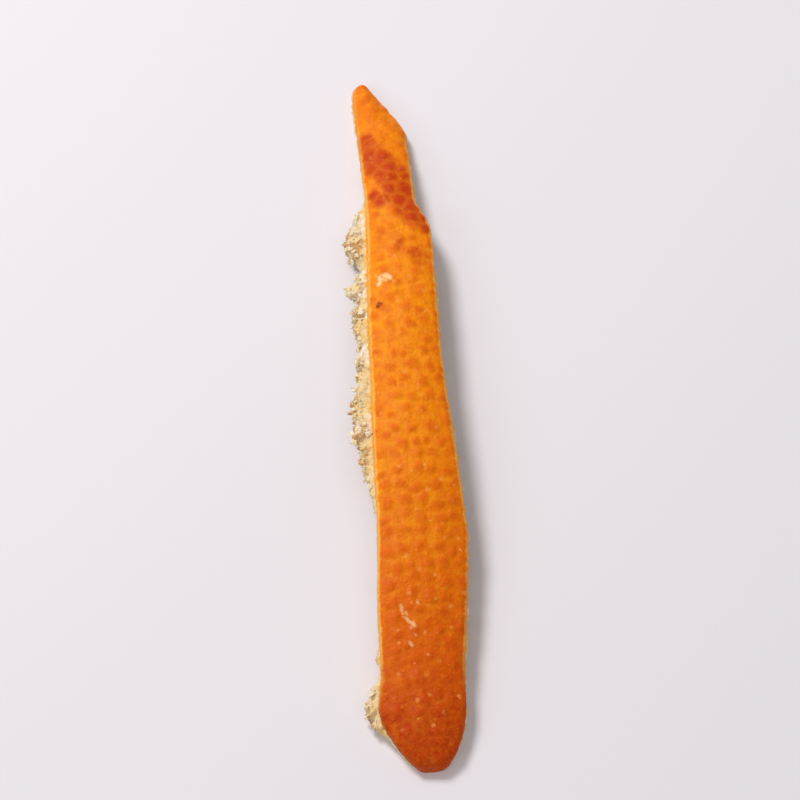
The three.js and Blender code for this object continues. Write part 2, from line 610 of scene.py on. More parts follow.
@dataclass
class PeelStrip:
    """The strip itself: its fine mesh, its relief and its finish."""

    form: StripForm
    across: int = 60
    up: int = 24
    along: int = 560
    skin_deep: float = 0.02

    def stations(self) -> np.ndarray:
        """Returns the distances of the mesh's rings, closer together towards both ends."""
        even = np.linspace(0.0, 1.0, self.along + 1)
        return self.form.length * mixed(even, even * even * (3 - 2 * even), 0.25)

    def ring(self, s: float) -> np.ndarray:
        """Lays one ring of points round the strip: skin, right wall, underside, left wall.

        Args:
            s: The ring's distance from the tip.

        Returns:
            One row for each point: sideways place, distance, height, depth below the skin, how torn
            the pith is there, and how far the skin's edge is.
        """
        u = np.linspace(0.0, 1.0, self.across + 1)
        at = np.full_like(u, s)
        skin, under = self.form.skin(u, at), self.form.underside(u, at)
        right, right_depth = self.form.wall(Wall.RIGHT, s, self.up)
        left, left_depth = self.form.wall(Wall.LEFT, s, self.up)
        points = np.concatenate([skin, right[1:-1], under[::-1], left[1:-1][::-1]])
        top, below = np.zeros_like(u), np.full_like(u, self.form.below)
        depths = np.concatenate([top, right_depth[1:-1], below, left_depth[1:-1][::-1]])
        ends = [float(self.form.torn(side, np.array([s]))[0]) for side in Wall]
        under_torn = mixed(mixed(ends[0], ends[1], u), 1.0, smooth(1 - np.abs(2 * u - 1), 0.0, 0.3))
        walls = [np.full(self.up - 1, end) for end in ends]
        torn = np.concatenate([top, walls[1], under_torn[::-1], walls[0]])
        torn *= mixed(0.25, 1.0, float(self.form.openness(np.array([s]), 2.0)[0]))
        rim = np.zeros(len(points))
        rim[: self.across + 1] = np.minimum(skin[:, 0] - skin[0, 0], skin[-1, 0] - skin[:, 0])
        return np.column_stack([points, depths, torn, rim])

    def cap(self, ring: np.ndarray) -> np.ndarray:
        """Fills the end of the strip with points between skin and underside.

        Args:
            ring: The end ring's points, as ring() gives them.

        Returns:
            The inner points of the end, row by row down from the skin.
        """
        n, m = self.across, self.up
        skin, under = ring[1:n], ring[n + m : 2 * n + m + 1][::-1][1:n]
        right, left = ring[n + 1 : n + m], ring[2 * n + m + 1 :][::-1]
        u = np.linspace(0, 1, n + 1)[1:n, None]
        rows = []
        for k in range(m - 1):
            share = (k + 1) / m
            edges = mixed(left[k], right[k], u)
            corners = mixed(mixed(ring[0], ring[n], u), mixed(ring[2 * n + m], ring[n + m], u), share)
            row = mixed(skin, under, share) + edges - corners
            row[:, 3:] = edges[:, 3:]
            rows.append(row)
        return np.concatenate(rows)

    def cap_faces(self, ring: int, inner: int, tip: bool) -> list[tuple[int, ...]]:
        """Joins an end ring to the points inside it.

        Args:
            ring: The number of the ring's first point.
            inner: The number of the first inner point.
            tip: Whether this is the tip's end, whose faces turn the other way.

        Returns:
            The faces.
        """
        n, m = self.across, self.up

        def number(i: int, k: int) -> int:
            """Finds a point of the end.

            Args:
                i: Its column, from the left.
                k: Its row, down from the skin.

            Returns:
                The point's number.
            """
            if k == 0:
                return ring + i
            if k == m:
                return ring + n + m + (n - i)
            if i == n:
                return ring + n + k
            if i == 0:
                return ring + 2 * n + 2 * m - k
            return inner + (k - 1) * (n - 1) + (i - 1)

        faces = []
        for k in range(m):
            for i in range(n):
                face = (number(i, k), number(i + 1, k), number(i + 1, k + 1), number(i, k + 1))
                faces.append(face[::-1] if tip else face)
        return faces

    def mesh(self) -> tuple[bpy.types.Mesh, np.ndarray]:
        """Builds the closed mesh of the strip before its relief.

        Returns:
            The mesh in millimetres, and its points as ring() gives them.
        """
        points = [self.ring(float(s)) for s in self.stations()]
        size, count = len(points[0]), len(points)
        faces = []
        for j in range(count - 1):
            for i in range(size):
                a, b = j * size + i, j * size + (i + 1) % size
                faces.append((a, b, b + size, a + size))
        for j, tip in ((0, True), (count - 1, False)):
            start = sum(len(p) for p in points)
            points.append(self.cap(points[j]))
            faces += self.cap_faces(j * size, start, tip)
        flat = np.concatenate(points)
        mesh = bpy.data.meshes.new("peel_strip_base")
        mesh.from_pydata(flat[:, :3].tolist(), [], faces)
        return mesh, flat

    def marks(self, mesh: bpy.types.Mesh, flat: np.ndarray) -> None:
        """Stores what the relief and the finish need on each point.

        Args:
            mesh: The mesh to mark.
            flat: Its points as ring() gives them.
        """
        x, s, _, depths, torn, rim = flat.T
        lay = np.stack([x, s, -depths], axis=-1)
        mesh.attributes.new(Mark.LAY.value, "FLOAT_VECTOR", "POINT").data.foreach_set("vector", lay.ravel())
        on_skin = depths < self.skin_deep
        marks = {
            Mark.DEPTH: depths,
            Mark.TORN: torn,
            Mark.RIM: rim,
            Mark.BLUSH: BLUSH.shade(x, s),
            Mark.SCAR: np.maximum(SCAR.shade(x, s), PALE_FLECKS.shade(x, s)) * on_skin,
            Mark.SPECK: SPECK.shade(x, s) * on_skin,
        }
        for mark, values in marks.items():
            layer = mesh.attributes.new(mark.value, "FLOAT", "POINT")
            layer.data.foreach_set("value", values.astype(np.float32))

    def stand(self, mesh: bpy.types.Mesh) -> None:
        """Turns the mesh to metres and stands it where the CAD strip is.

        Args:
            mesh: The mesh in millimetres, with distance from the tip along its second axis.
        """
        low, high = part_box(NODE)
        co = places_of(mesh)
        co[:, 0] -= (co[:, 0].min() + co[:, 0].max()) / 2
        co[:, 0] = co[:, 0] * MM + (low.x + high.x) / 2
        co[:, 1] = high.y - co[:, 1] * MM
        co[:, 2] = low.z + np.maximum(co[:, 2], 0.0) * MM
        move_points(mesh, co)

    def build(self, finish: bpy.types.Material) -> bpy.types.Object:
        """Builds the finished strip.

        Args:
            finish: The strip's material.

        Returns:
            The strip's object.
        """
        mesh, flat = self.mesh()
        self.marks(mesh, flat)
        self.stand(mesh)
        strip = baked(linked("peel_strip_base", mesh), PeelRelief().tree(finish), "dried_peel_strip")
        strip.data.shade_smooth()
        return strip


@dataclass
class PeelRelief:
    """Pores in the skin and lumps, crumbs, cracks and pits in the pith, in millimetres."""

    pore_pitch: float = 1.42
    pore_depth: float = 0.10
    pinhole_depth: float = 0.025
    sag: float = 0.28
    fold: float = 0.10
    crease: float = 0.12
    scar_height: float = 0.06
    chunk_size: float = 1.5
    chunk_height: float = 0.20
    shard_size: float = 0.42
    shard_height: float = 0.21
    fuzz: float = 0.16
    crack_depth: float = 0.30
    pit_depth: float = 0.45
    edge_height: float = 0.12

    def tree(self, finish: bpy.types.Material) -> bpy.types.NodeTree:
        """Builds the node tree that raises and sinks the strip's surface.

        Args:
            finish: The material that the tree sets.

        Returns:
            The geometry node tree.
        """
        sizes = {size.name.replace("_", " ").capitalize(): getattr(self, size.name) for size in fields(self)}
        sheet, given, out = new_tree("peel_relief", sizes)
        lay = named(sheet, Mark.LAY, "FLOAT_VECTOR")
        depth = named(sheet, Mark.DEPTH)
        body = sheet.scaled(sheet.add("GeometryNodeInputPosition").outputs[0], 1 / MM)

        pore, web, skin = self.skin_relief(sheet, given, lay)
        crevice, chunk, pith = self.pith_relief(sheet, given, body, depth)
        on_skin = sheet.rise(depth, 0.0, 0.16, 1.0, 0.0)
        in_pith = sheet.times(sheet.rise(depth, 0.22, 0.75), named(sheet, Mark.TORN))
        fringe = sheet.rise(depth, 0.05, 0.3)
        edge = sheet.centred(sheet.noise(body, 0.34), fringe, given["Edge height"])
        height = sheet.plus(sheet.times(skin, on_skin), sheet.times(pith, in_pith), edge)

        geometry = given["Geometry"]
        # One of these marks holds the painted shade of the pith's cracks, pits and hollows
        for mark, value in zip((Mark.PORE, Mark.WEB, Mark.CREVICE, Mark.CHUNK), (pore, web, crevice, chunk)):
            geometry = store(sheet, geometry, mark, value)
        facing = {"Value": sheet.add("GeometryNodeInputNormal").outputs[0], "Iterations": 5}
        facing = sheet.add("GeometryNodeBlurAttribute", facing, data_type="FLOAT_VECTOR").outputs[0]
        offset = sheet.scaled(facing, sheet.times(height, MM))
        moved = sheet.add("GeometryNodeSetPosition", {"Geometry": geometry, "Offset": offset})
        return finish_tree(sheet, moved.outputs[0], finish, out)

    @staticmethod
    def skin_relief(
        sheet: NodeSheet, given: dict[str, Socket], lay: Socket
    ) -> tuple[Socket, Socket, Socket]:
        """Sinks the skin over each oil gland and wrinkles it between them.

        Args:
            sheet: The tree that the nodes go into.
            given: The tree's inputs by name.
            lay: The skin's flat coordinates.

        Returns:
            How far each point is inside a pore, how far on the web between them, and the height.
        """
        swerve = sheet.sway(lay, 2.6, 0.9)
        glands = sheet.cells(swerve, given["Pore pitch"], loose=0.72, flat=True)
        seams = sheet.cells(swerve, given["Pore pitch"], "DISTANCE_TO_EDGE", loose=0.72, flat=True)
        wide, deep, _ = sheet.parts(glands.outputs["Color"])
        size = sheet.rise(wide, 0.0, 1.0, 0.36, 0.54)
        wobble = sheet.centred(sheet.noise(lay, 0.45), 0.22)
        near = sheet.plus(glands.outputs["Distance"], wobble)
        pore = sheet.rise(near, sheet.times(size, 0.2), size, 1.0, 0.0)
        pore = sheet.times(pore, sheet.rise(deep, 0.0, 0.6, 0.6, 1.0))
        web = sheet.rise(sheet.plus(seams.outputs["Distance"], wobble), 0.0, 0.26, 1.0, 0.0)
        fine = sheet.cells(lay, 0.62, flat=True)
        pinhole = sheet.rise(fine.outputs["Distance"], 0.08, 0.32, 1.0, 0.0)
        folds = sheet.noise(sheet.sway(lay, 1.2, 0.5), 0.8, 3.0, 0.6)
        creases = sheet.noise(sheet.drawn(sheet.sway(lay, 3.0, 0.8), 0.2), 0.9)
        height = sheet.plus(
            sheet.times(pore, given["Pore depth"], -1.0),
            sheet.times(pinhole, given["Pinhole depth"], -1.0),
            sheet.centred(folds, given["Fold"]),
            sheet.centred(creases, given["Crease"]),
            sheet.centred(sheet.noise(lay, 5.0, 1.0), given["Sag"]),
            sheet.times(named(sheet, Mark.SCAR), given["Scar height"]),
        )
        return pore, web, height

    @staticmethod
    def pith_relief(
        sheet: NodeSheet, given: dict[str, Socket], body: Socket, depth: Socket
    ) -> tuple[Socket, Socket, Socket]:
        """Breaks the pith into chunks and shards with cracks and pits between them.

        Args:
            sheet: The tree that the nodes go into.
            given: The tree's inputs by name.
            body: Coordinates in the strip, in millimetres.
            depth: Depth below the skin.

        Returns:
            How strongly painted shade darkens each point in the cracks, pits and hollows, 0 to 1, its
            chunk's tone, and the height.
        """
        bent = sheet.sway(body, 1.1, 0.8)
        chunks = sheet.cells(bent, given["Chunk size"])
        tone_of, rank, _ = sheet.parts(chunks.outputs["Color"])
        seams = sheet.cells(bent, given["Chunk size"], "DISTANCE_TO_EDGE")
        broken = sheet.rise(sheet.noise(body, 2.4, 1.0), 0.40, 0.56)
        crack = sheet.times(sheet.rise(seams.outputs["Distance"], 0.0, 0.12, 1.0, 0.0), broken)
        dome = sheet.rise(chunks.outputs["Distance"], 0.0, 0.8, 1.0, 0.0)
        shards = sheet.cells(sheet.sway(body, 0.5, 0.35), given["Shard size"])
        shard = sheet.parts(shards.outputs["Color"])[0]
        edge = sheet.rise(shards.outputs["Distance"], 0.3, 0.85, 1.0, 0.0)
        holes = sheet.cells(body, 0.9)
        chosen = sheet.rise(sheet.parts(holes.outputs["Color"])[0], 0.58, 0.62)
        pit = sheet.times(sheet.rise(holes.outputs["Distance"], 0.10, 0.28, 1.0, 0.0), chosen)
        crumbly = sheet.rise(sheet.noise(body, 2.6, 1.0), 0.38, 0.60, 0.45, 1.0)
        height = sheet.plus(
            sheet.centred(rank, given["Chunk height"], 1.2),
            sheet.centred(dome, given["Chunk height"], 0.6),
            sheet.centred(shard, given["Shard height"], crumbly),
            sheet.centred(edge, given["Shard height"], crumbly, 0.7),
            sheet.centred(sheet.noise(body, 0.2, 3.0, 0.7), given["Fuzz"]),
            sheet.times(crack, given["Crack depth"], -1.0),
            sheet.times(pit, given["Pit depth"], -1.0),
        )
        # Painted shade: a mask that darkens the pith's cracks, pits and the hollows between shards, where
        # shade falls
        hollow = sheet.times(sheet.rest(edge), crumbly, 0.42)
        crevice = sheet.math("MAXIMUM", sheet.math("MAXIMUM", sheet.times(crack, 0.85), pit), hollow)
        dark = sheet.times(sheet.rise(depth, 0.6, 1.2), sheet.rise(depth, 3.7, 3.98, 0.62, 1.0))
        mottled = sheet.plus(sheet.times(tone_of, 0.6), sheet.times(shard, 0.4))
        return sheet.times(crevice, dark), mottled, height


@dataclass
class PithCrumbs:
    """Crumbs of one size that cling to the torn pith, in millimetres."""

    name: str
    size: float
    spread: float
    seed: int
    sink: float
    clear: float = 0.45
    under: float = 0.25
    sides: int = 3
    shapes: int = 5
    smallest: float = 0.55
    growth: float = 0.85
    slimmest: Triple = (0.9, 0.8, 0.45)
    plumpest: Triple = (1.3, 1.2, 0.8)

    def tree(self, finish: bpy.types.Material) -> bpy.types.NodeTree:
        """Builds the node tree that scatters the crumbs over a strip.

        Args:
            finish: The material that the tree sets.

        Returns:
            The geometry node tree.
        """
        sizes = {"Size": self.size, "Spread": self.spread, "Under": self.under, "Sink": self.sink}
        sizes |= {"Clear": self.clear, "Table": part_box(NODE)[0].z / MM}
        sheet, given, out = new_tree(self.name, sizes)
        points = self.scatter(sheet, given)
        shapes = sheet.add("GeometryNodeJoinGeometry")
        for k in range(self.shapes):
            sheet.feed(shapes.inputs[0], self.crumb(sheet, k))

        swell = self.chance(sheet, "FLOAT", 0.0, 1.0, 3)
        swell = sheet.plus(self.smallest, sheet.times(swell, swell, self.growth))
        stretch = self.chance(sheet, "FLOAT_VECTOR", self.slimmest, self.plumpest, 4)
        placed = {
            "Points": points.outputs["Points"],
            "Instance": shapes.outputs[0],
            "Pick Instance": True,
            "Instance Index": self.chance(sheet, "INT", 0, self.shapes - 1, 1),
            "Rotation": self.chance(sheet, "FLOAT_VECTOR", (0.0,) * 3, (math.tau,) * 3, 2),
            "Scale": sheet.scaled(stretch, sheet.times(given["Size"], swell, MM)),
        }
        placed = sheet.add("GeometryNodeInstanceOnPoints", placed).outputs[0]
        down = sheet.scaled(points.outputs["Normal"], sheet.times(given["Size"], given["Sink"], -MM))
        sunk = {"Instances": placed, "Translation": down, "Local Space": False}
        sunk = sheet.add("GeometryNodeTranslateInstances", sunk).outputs[0]
        # The crumbs get none of the painted shade of cracks, pits and hollows
        unshaded = store(sheet, sunk, Mark.CREVICE, 0.0, "INSTANCE")
        own = self.chance(sheet, "FLOAT", 0.0, 0.35, 5)
        mottle = sheet.plus(sheet.times(named(sheet, Mark.CHUNK), 0.6), 0.1, own)
        return finish_tree(sheet, store(sheet, unshaded, Mark.CHUNK, mottle, "INSTANCE"), finish, out)

    def scatter(self, sheet: NodeSheet, given: dict[str, Socket]) -> bpy.types.Node:
        """Scatters points over the torn pith, fewer underneath and none close to the table.

        Args:
            sheet: The tree that the nodes go into.
            given: The tree's inputs by name.

        Returns:
            The node that lays the points.
        """
        depth = named(sheet, Mark.DEPTH)
        torn = sheet.rise(named(sheet, Mark.TORN), 0.55, 1.0)
        height = sheet.parts(sheet.add("GeometryNodeInputPosition").outputs[0])[2]
        height = sheet.math("SUBTRACT", sheet.times(height, 1 / MM), given["Table"])
        lifted = sheet.math("GREATER_THAN", height, given["Clear"])
        below = sheet.rise(depth, 2.9, 3.2)
        thinned = sheet.plus(1.0, sheet.times(below, sheet.math("SUBTRACT", given["Under"], 1.0)))
        in_pith = sheet.rise(depth, 0.75, 1.1)
        density = sheet.times(given["Spread"], torn, in_pith, thinned, lifted, 1 / (MM * MM))
        fed = {"Mesh": given["Geometry"], "Density": density, "Seed": self.seed}
        return sheet.add("GeometryNodeDistributePointsOnFaces", fed, distribute_method="RANDOM")

    def crumb(self, sheet: NodeSheet, shape: int) -> Socket:
        """Makes one angular crumb, about one unit across.

        Args:
            sheet: The tree that the nodes go into.
            shape: Which of the shapes it is.

        Returns:
            The crumb as an instance.
        """
        block = sheet.add("GeometryNodeMeshCube", {f"Vertices {axis}": self.sides for axis in "XYZ"})
        place = sheet.add("GeometryNodeInputPosition").outputs[0]
        shift = sheet.vector("ADD", place, (7.3 * shape + self.seed, 3.1 * shape, 0.0))
        dents = sheet.rise(sheet.noise(shift, 0.4, 2.0, 0.6), 0.3, 0.7, 0.12, 0.78)
        dented = {"Geometry": block.outputs["Mesh"]}
        dented["Position"] = sheet.scaled(sheet.vector("NORMALIZE", place), dents)
        dented = sheet.add("GeometryNodeSetPosition", dented).outputs[0]
        return sheet.add("GeometryNodeGeometryToInstance", {0: dented}).outputs[0]

    def chance(self, sheet: NodeSheet, kind: str, low: object, high: object, draw: int) -> Socket:
        """Draws a random value for each crumb.

        Args:
            sheet: The tree that the node goes into.
            kind: The value's data type.
            low: The lowest value.
            high: The highest value.
            draw: Which of the draws this is, so that no two are alike.

        Returns:
            The random value.
        """
        first = {"FLOAT_VECTOR": 0, "FLOAT": 2, "INT": 4}[kind]
        fed = {first: low, first + 1: high, "Seed": 10 * self.seed + draw}
        return sheet.add("FunctionNodeRandomValue", fed, data_type=kind).outputs[first // 2]

    def build(self, strip: bpy.types.Object, finish: bpy.types.Material) -> bpy.types.Object:
        """Builds the crumbs as one piece.

        Args:
            strip: The strip that they cling to.
            finish: Their material.

        Returns:
            The crumbs' object.
        """
        return baked(linked(f"{self.name}_ground", strip.data.copy()), self.tree(finish), self.name)


def new_tree(name: str, sizes: dict[str, float]) -> tuple[NodeSheet, dict[str, Socket], Socket]:
    """Starts a geometry tree, with its inputs and its output.

    Args:
        name: Its name.
        sizes: Its named sizes.

    Returns:
        The sheet for its nodes, its inputs by name, and its output.
    """
    tree = bpy.data.node_groups.new(name, "GeometryNodeTree")
    for way in ("INPUT", "OUTPUT"):
        tree.interface.new_socket(name="Geometry", in_out=way, socket_type="NodeSocketGeometry")
    for size, value in sizes.items():
        made = tree.interface.new_socket(name=size, in_out="INPUT", socket_type="NodeSocketFloat")
        made.default_value = value
    sheet = NodeSheet(tree)
    given = {socket.name: socket for socket in sheet.add("NodeGroupInput").outputs if socket.name}
    return sheet, given, sheet.add("NodeGroupOutput").inputs[0]


def named(sheet: NodeSheet, mark: Mark, kind: str = "FLOAT") -> Socket:
    """Returns one of the mesh's marks in a geometry tree."""
    node = sheet.add("GeometryNodeInputNamedAttribute", {"Name": mark.value}, data_type=kind)
    return node.outputs["Attribute"]


def store(sheet: NodeSheet, geometry: Socket, mark: Mark, value: Number, domain: str = "POINT") -> Socket:
    """Stores a mark on the points or instances of a geometry, and returns the geometry."""
    fed = {"Geometry": geometry, "Name": mark.value, "Value": value}
    return sheet.add("GeometryNodeStoreNamedAttribute", fed, data_type="FLOAT", domain=domain).outputs[0]


def finish_tree(
    sheet: NodeSheet, geometry: Socket, finish: bpy.types.Material, out: Socket
) -> bpy.types.NodeTree:
    """Ends a geometry tree: instances made real, and the material set.

    Args:
        sheet: The tree that the nodes go into.
        geometry: The geometry so far.
        finish: The material.
        out: The tree's output.

    Returns:
        The geometry node tree.
    """
    real = sheet.add("GeometryNodeRealizeInstances", {0: geometry}).outputs[0]
    dressed = sheet.add("GeometryNodeSetMaterial", {"Geometry": real, "Material": finish})
    sheet.feed(out, dressed.outputs[0])
    return sheet.tree


def baked(source: bpy.types.Object, tree: bpy.types.NodeTree, name: str) -> bpy.types.Object:
    """Runs a geometry tree on an object and keeps the result as a plain mesh.

    What would reach below the surface that the strip lies on is pressed flat.

    Args:
        source: The object that the tree works on, removed afterwards.
        tree: The tree.
        name: The new object's name.

    Returns:
        The new object.
    """
    source.modifiers.new(tree.name, "NODES").node_group = tree
    graph = bpy.context.evaluated_depsgraph_get()
    mesh = bpy.data.meshes.new_from_object(source.evaluated_get(graph), depsgraph=graph)
    mesh.name = name
    bpy.data.objects.remove(source)
    places = places_of(mesh)
    places[:, 2] = np.maximum(places[:, 2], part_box(NODE)[0].z)
    move_points(mesh, places)
    return linked(name, mesh)


def new_finish(
    name: str, settings: dict[str, object]
) -> tuple[bpy.types.Material, NodeSheet, bpy.types.Node]:
    """Starts a material.

    Args:
        name: Its name.
        settings: What its shader's own sockets are set to.

    Returns:
        The material, the sheet for its nodes, and its shader.
    """
    material = bpy.data.materials.new(name)
    material.use_nodes = True
    shader = material.node_tree.nodes["Principled BSDF"]
    for socket, value in settings.items():
        shader.inputs[socket].default_value = value
    return material, NodeSheet(material.node_tree), shader


@dataclass(frozen=True)
class PeelFinish:
    """The look of dried peel: waxy orange skin over a cream, crumbly pith."""

    length: float
    glow: float = 0.35 * MM
    bright: Colour = tone(245, 136, 4)
    middle: Colour = tone(241, 128, 4)
    low: Colour = tone(228, 106, 0)
    late: Colour = tone(212, 84, 0)
    end: Colour = tone(188, 56, 0)
    blush: Colour = tone(194, 48, 4)
    yellow: Colour = tone(254, 164, 12)
    pore: Colour = tone(220, 90, 2)
    pore_red: Colour = tone(178, 40, 6)
    cut_rind: Colour = tone(252, 188, 92)
    cream: Colour = tone(246, 218, 164)
    pale: Colour = tone(254, 238, 214)
    straw: Colour = tone(240, 192, 108)
    # Tan flecks in the pith; the same tan is painted shade at the edges of its cracks, pits and hollows
    tan: Colour = tone(214, 150, 82)
    # Painted shade: the brown deep in the pith's cracks, pits and hollows
    brown: Colour = tone(110, 48, 16)
    scar: Colour = tone(250, 212, 150)
    speck: Colour = tone(124, 28, 10)
    # Painted highlight: the colour of small pale dots that stand in for glints of light on the skin
    gleam: Colour = tone(252, 168, 84)

    # The skin from the tip to the round end, darker towards the round end: shares of the length, and what it
    # is coloured there
    ripening: tuple[tuple[float, Colour], ...] = (
        *((0.0, low), (0.05, middle), (0.2, middle), (0.36, bright)),
        *((0.60, middle), (0.76, low), (0.86, late), (0.94, end)),
    )

    # Tints that follow clouds of a few sizes, where these are high and where they are low
    patch_high: Tint = Tint(yellow, 0.50, 0.74, 0.42)
    patch_low: Tint = Tint(low, 0.50, 0.28, 0.30)
    mottle_high: Tint = Tint(yellow, 0.53, 0.66, 0.30)
    mottle_low: Tint = Tint(late, 0.48, 0.35, 0.34)
    streak_low: Tint = Tint(late, 0.46, 0.28, 0.26)
    grit_high: Tint = Tint(yellow, 0.56, 0.74, 0.30)
    grit_low: Tint = Tint(pore, 0.44, 0.28, 0.26)
    rind_high: Tint = Tint(yellow, 0.42, 0.60)
    rind_low: Tint = Tint(low, 0.42, 0.32, 0.35)
    pith_high: Tint = Tint(pale, 0.46, 0.66)
    pith_low: Tint = Tint(straw, 0.44, 0.24, 0.8)
    fleck_high: Tint = Tint(pale, 0.55, 0.75, 0.5)
    fleck_low: Tint = Tint(tan, 0.44, 0.26, 0.6)

    # Tints that follow a place: across or along the strip, in from its edge, or down into the pith's cracks,
    # pits and hollows. The tint across the strip is painted shade on the skin's right side, and the two down
    # into the cracks, pits and hollows are painted shade
    painted_side_shade: Tint = Tint(late, 0.5, 4.0, 0.28)
    rim: Tint = Tint(cut_rind, 0.26, 0.02, 0.75)
    end_rind: Tint = Tint(end, 0.86, 0.95, 0.8)
    tip_rind: Tint = Tint(bright, 0.18, 0.06, 0.6)
    # Painted shade down into the pith's cracks, pits and hollows
    painted_shade_tan: Tint = Tint(tan, 0.12, 0.45, 0.75)
    painted_shade_brown: Tint = Tint(brown, 0.5, 0.9)

    def peel(self) -> bpy.types.Material:
        """Builds the finish of the strip.

        Returns:
            The material.
        """
        settings = {
            "Specular IOR Level": 0.10,
            "Subsurface Weight": 0.12,
            "Subsurface Radius": (1.0, 0.45, 0.2),
            "Subsurface Scale": self.glow,
        }
        material, sheet, shader = new_finish("dried_peel", settings)
        lay = sheet.add("ShaderNodeAttribute", attribute_name=Mark.LAY.value).outputs["Vector"]
        marks = self.marks(sheet)
        place = self.place(sheet)
        across, down, _ = sheet.parts(lay)
        along = sheet.math("DIVIDE", down, self.length)

        depth = marks[Mark.DEPTH]
        waver = sheet.centred(sheet.noise(place, 0.4, 3.0), 0.5)
        ragged = sheet.plus(depth, sheet.times(waver, sheet.rise(depth, 0.03, 0.2)))
        skin = self.skin_colour(sheet, lay, across, along, marks)
        skin = self.skin_marks(sheet, lay, along, marks, skin)
        grain = sheet.noise(place, 0.25, 3.0, 0.6)
        rind = sheet.tints(self.cut_rind, grain, self.rind_high, self.rind_low)
        rind = sheet.tints(rind, along, self.end_rind, self.tip_rind)
        colour = sheet.blend(sheet.rise(ragged, 0.06, 0.22), skin, rind)
        pith = self.pith_colour(sheet, place, marks)
        colour = sheet.blend(sheet.rise(ragged, 0.36, 0.66), colour, pith)
        sheet.feed(shader.inputs["Base Color"], colour)

        dull = sheet.rise(ragged, 0.05, 0.4)
        gloss = sheet.rise(sheet.noise(lay, 1.1, 3.0), 0.3, 0.7, 0.34, 0.5)
        gloss = sheet.plus(gloss, sheet.times(marks[Mark.PORE], 0.08))
        rough = sheet.plus(sheet.times(gloss, sheet.rest(dull)), sheet.times(dull, 0.92))
        sheet.feed(shader.inputs["Roughness"], rough)
        pebble = sheet.times(sheet.noise(lay, 0.26, 3.0, 0.65), sheet.rest(dull), 0.12)
        fibre = sheet.times(sheet.noise(place, 0.2, 4.0, 0.7), dull, 0.26)
        sheet.feed(shader.inputs["Normal"], sheet.bump(sheet.plus(pebble, fibre), 0.7))
        return material

    def crumbs(self) -> bpy.types.Material:
        """Builds the finish of the crumbs.

        Returns:
            The material.
        """
        settings = {
            "Roughness": 0.92,
            "Specular IOR Level": 0.2,
            "Subsurface Weight": 0.5,
            "Subsurface Radius": (1.0, 0.7, 0.4),
            "Subsurface Scale": 1.6 * self.glow,
        }
        material, sheet, shader = new_finish("dried_pith", settings)
        place = self.place(sheet)
        pith = self.pith_colour(sheet, place, self.marks(sheet))
        sheet.feed(shader.inputs["Base Color"], sheet.blend(0.4, pith, self.pale))
        fuzz = sheet.times(sheet.noise(place, 0.12, 3.0, 0.7), 0.14)
        sheet.feed(shader.inputs["Normal"], sheet.bump(fuzz, 0.5))
        return material

    @staticmethod
    def marks(sheet: NodeSheet) -> dict[Mark, Socket]:
        """Reads every point attribute but the lay."""
        return {
            mark: sheet.add("ShaderNodeAttribute", attribute_name=mark.value).outputs["Fac"]
            for mark in Mark
            if mark is not Mark.LAY
        }

    @staticmethod
    def place(sheet: NodeSheet) -> Socket:
        """Returns the piece's own coordinates, in millimetres."""
        return sheet.scaled(sheet.add("ShaderNodeTexCoord").outputs["Object"], 1 / MM)

    def skin_colour(
        self, sheet: NodeSheet, lay: Socket, across: Socket, along: Socket, marks: dict[Mark, Socket]
    ) -> Socket:
        """Colours the skin: ripening, mottle, blush and pores.

        Args:
            sheet: The tree that the nodes go into.
            lay: The skin's flat coordinates.
            across: The sideways place.
            along: The share of the way from the tip to the round end.
            marks: The point attributes.

        Returns:
            The colour.
        """
        ramp = sheet.add("ShaderNodeValToRGB")
        drift = sheet.centred(sheet.noise(lay, 7.0), 0.08)
        sheet.feed(ramp.inputs[0], sheet.plus(along, drift))
        elements = ramp.color_ramp.elements
        while len(elements) < len(self.ripening):
            elements.new(0.5)
        for element, (at, shade) in zip(elements, self.ripening):
            element.position = at
            element.color = shade

        calm = sheet.rise(along, 0.62, 0.9, 1.0, 0.35)
        patch = sheet.noise(lay, 2.2, 3.0, 0.55)
        colour = sheet.tint(ramp.outputs[0], self.patch_high, patch, calm)
        colour = sheet.tint(colour, self.patch_low, patch)
        mottle = sheet.noise(lay, 0.75, 2.0, 0.55)
        colour = sheet.tint(colour, self.mottle_high, mottle, calm)
        colour = sheet.tint(colour, self.mottle_low, mottle)
        streak = sheet.noise(sheet.drawn(sheet.sway(lay, 3.0, 0.8), 0.14), 0.42)
        colour = sheet.tint(colour, self.streak_low, streak)
        # Painted shade: the skin darkens towards its right side, as if it turned away from the light
        colour = sheet.tint(colour, self.painted_side_shade, across)

        flushed = marks[Mark.BLUSH]
        frayed = sheet.centred(sheet.noise(lay, 1.1, 3.0, 0.6), 0.9)
        flush = sheet.rise(sheet.plus(flushed, frayed), 0.02, 0.75, 0.0, 0.88)
        flush = sheet.times(flush, sheet.rise(flushed, 0.0, 0.25))
        colour = sheet.blend(flush, colour, self.blush)

        young = sheet.rise(along, 0.03, 0.2, 0.35, 1.0)
        clear = sheet.rise(sheet.noise(lay, 4.0, 1.0), 0.36, 0.60, 0.72, 1.0)
        shown = sheet.times(calm, young, clear)
        pit = sheet.blend(flush, self.pore, self.pore_red)
        colour = sheet.blend(sheet.times(marks[Mark.PORE], shown, 0.62), colour, pit)
        return sheet.blend(sheet.times(marks[Mark.WEB], shown, 0.22), colour, self.yellow)

